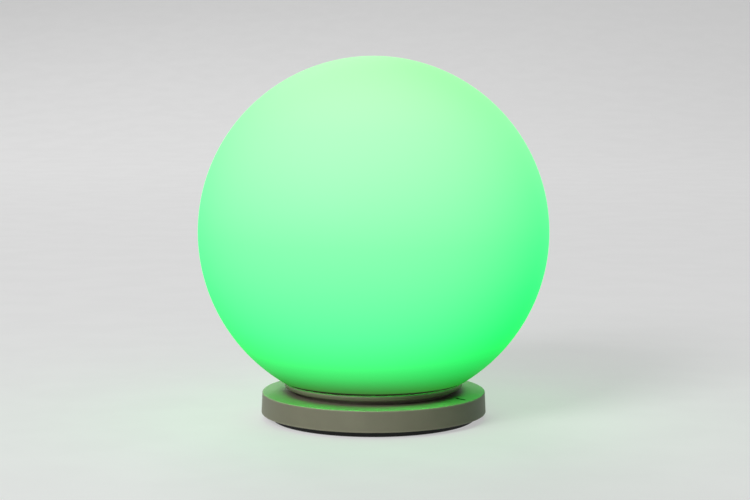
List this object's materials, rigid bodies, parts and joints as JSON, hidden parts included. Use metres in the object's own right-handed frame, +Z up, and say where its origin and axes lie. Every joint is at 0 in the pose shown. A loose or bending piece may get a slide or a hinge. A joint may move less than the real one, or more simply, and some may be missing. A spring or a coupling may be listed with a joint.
{
  "type": "globe light",
  "caption": "Frosted glass ball garden light, lit green, that lifts off a low round charging dock with a rear power socket.",
  "frame": {"origin": "middle of the dock's foot ring, on the surface the light stands on", "axes": "+Z up through the middle of the ball, -Y the shown front, +Y towards the rear power socket"},
  "size_m": [0.14, 0.14, 0.145],
  "materials": {
    "opal_glass": "satin opal, lit green from inside",
    "seal_rubber": "matt dark red-brown silicone",
    "shell_plastic": "fine satin texture, warm grey",
    "housing_plastic": "plain white moulding",
    "frosted_plastic": "frosted",
    "spreader_metal": "rolled sheet",
    "white_board": "white solder mask",
    "led_body": "white package with a yellow phosphor",
    "ribbon_film": "amber film",
    "cell_sleeve": "shrink sleeve",
    "lead_sheath": "soft wire sheath",
    "green_board": "green solder mask",
    "chip_plastic": "moulded packages",
    "coil_wire": "enamelled copper wire",
    "ferrite": "sintered ferrite",
    "foot_rubber": "matt black rubber",
    "button_rubber": "soft dark grey rubber",
    "screw_steel": "zinc plated",
    "socket_metal": "nickel plated"
  },
  "bodies": {
    "dock": {"dock_top": "shell_plastic", "dock_base": "shell_plastic", "foot_ring": "foot_rubber", "transmit_coil": "coil_wire", "transmit_shield": "ferrite", "dock_board": "green_board", "dock_parts": "chip_plastic", "usb_socket": "socket_metal", "dock_screws": "screw_steel"},
    "lamp": {"globe": "opal_glass", "globe_seal": "seal_rubber", "collar": "shell_plastic", "inner_housing": "housing_plastic", "led_cover": "frosted_plastic", "heat_spreader": "spreader_metal", "light_board": "white_board", "leds": "led_body", "light_ribbon": "ribbon_film", "battery": "cell_sleeve", "battery_cradle": "housing_plastic", "battery_leads": "lead_sheath", "control_board": "green_board", "control_parts": "chip_plastic", "button_switch": "chip_plastic", "receive_coil": "coil_wire", "receive_shield": "ferrite", "bottom_cover": "shell_plastic", "lamp_pads": "foot_rubber", "cover_screws": "screw_steel"},
    "button": {"power_button": "button_rubber"}
  },
  "joints": [
    {"name": "lamp_lift", "type": "slide", "parent": "dock", "child": "lamp", "axis": [0, 0, 1], "range_m": [0, 0.06]},
    {"name": "button_press", "type": "slide", "parent": "lamp", "child": "button", "axis": [0, 0, 1], "range_m": [0, 0.0008], "stiffness_N_per_m": 600}
  ]
}
